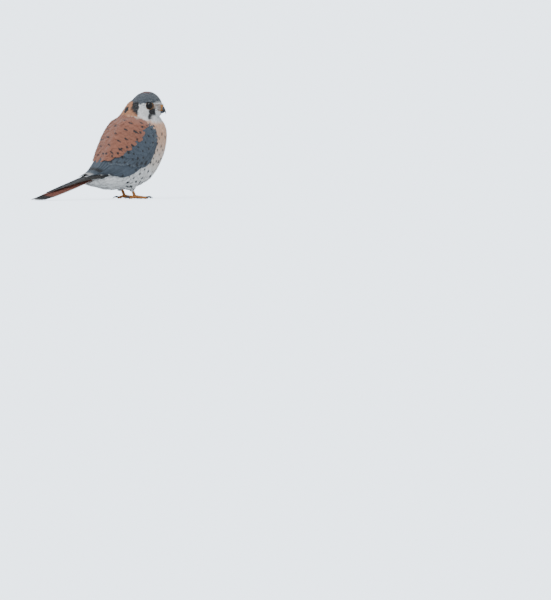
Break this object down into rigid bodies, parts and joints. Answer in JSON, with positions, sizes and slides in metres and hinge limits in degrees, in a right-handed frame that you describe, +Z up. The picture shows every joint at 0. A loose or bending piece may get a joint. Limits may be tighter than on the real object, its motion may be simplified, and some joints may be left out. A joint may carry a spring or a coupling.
{
  "type": "american kestrel",
  "caption": "Life-size male American kestrel, a small falcon, standing still with its wings folded, head turned over its right shoulder and tail laid to the floor.",
  "frame": {"origin": "middle of the floor under the bird's bounding box, at the level of the soles and the tail tip", "axes": "+X the way the body faces, +Y the bird's left, +Z up"},
  "size_m": [0.208, 0.076, 0.1422],
  "materials": {
    "body_plumage": "soft feathers, cream to white with dark spots, rufous on the back",
    "neck_plumage": "soft feathers, buff and rufous",
    "head_plumage": "short soft feathers, slate with white cheeks and black bars",
    "wing_plumage": "stiff feathers, slate with black spots",
    "tail_plumage": "stiff feathers, chestnut with a black band",
    "eye": "wet and glossy, dark brown",
    "bare_skin": "smooth orange-yellow skin",
    "bill": "horn, blue-grey with a dark tip",
    "leg_skin": "fine scales, orange-yellow",
    "claw": "horn, black"
  },
  "bodies": {
    "root": {"torso": "body_plumage", "neck": "neck_plumage", "head": "head_plumage", "eye_left": "eye", "eye_right": "eye", "lids_left": "bare_skin", "lids_right": "bare_skin", "cere": "bare_skin", "bill_upper": "bill", "bill_lower": "bill", "wing_left": "wing_plumage", "wing_right": "wing_plumage", "tail": "tail_plumage", "thigh_left": "body_plumage", "thigh_right": "body_plumage", "shank_left": "leg_skin", "shank_right": "leg_skin", "foot_left": "leg_skin", "foot_right": "leg_skin", "claw_inner_left": "claw", "claw_middle_left": "claw", "claw_outer_left": "claw", "claw_hind_left": "claw", "claw_inner_right": "claw", "claw_middle_right": "claw", "claw_outer_right": "claw", "claw_hind_right": "claw"}
  },
  "joints": []
}
